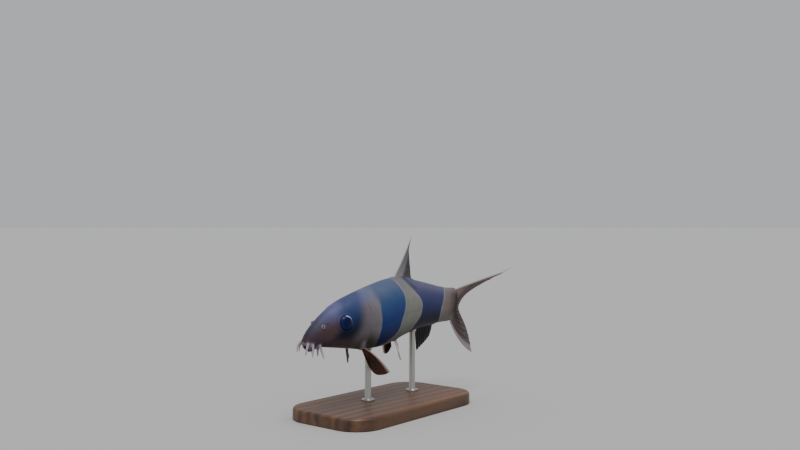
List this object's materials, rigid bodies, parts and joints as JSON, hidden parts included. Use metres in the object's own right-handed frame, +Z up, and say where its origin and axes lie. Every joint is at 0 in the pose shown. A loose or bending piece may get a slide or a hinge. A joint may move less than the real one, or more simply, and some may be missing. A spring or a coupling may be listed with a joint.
{
  "type": "clown loach",
  "caption": "Life-size still model of a banded freshwater loach with feelers round its mouth and a forked tail, banking as it swims, held on two rods over a plain wooden base.",
  "frame": {"origin": "centre of the stand base's underside", "axes": "+Z up; +X towards the tail, so the fish swims towards -X; +Y towards the fish's right side"},
  "size_m": [0.16, 0.052, 0.0899],
  "materials": {
    "skin": "fine-scaled wet skin, blue-black bands",
    "pale_skin": "fine-scaled wet skin, pale grey-brown ground with dark bands",
    "eye": "glossy dark eye",
    "feeler": "pale soft skin",
    "web": "translucent fin web with rays",
    "dark_web": "dark translucent fin web with rays",
    "walnut": "oiled walnut",
    "steel": "brushed steel"
  },
  "bodies": {
    "root": {"head": "skin", "torso": "pale_skin", "tail": "skin", "gill_cover_left": "skin", "gill_cover_right": "skin", "eye_left": "eye", "eye_right": "eye", "barbel_snout_inner_left": "feeler", "barbel_snout_inner_right": "feeler", "barbel_snout_outer_left": "feeler", "barbel_snout_outer_right": "feeler", "barbel_jaw_left": "feeler", "barbel_jaw_right": "feeler", "barbel_chin_left": "feeler", "barbel_chin_right": "feeler", "fin_dorsal": "dark_web", "fin_anal": "dark_web", "fin_pelvic_left": "dark_web", "fin_pelvic_right": "dark_web", "fin_tail": "web", "fin_pectoral_left": "web", "fin_pectoral_right": "web", "stand_base": "walnut", "stand_rod_front": "steel", "stand_rod_rear": "steel"}
  },
  "joints": []
}
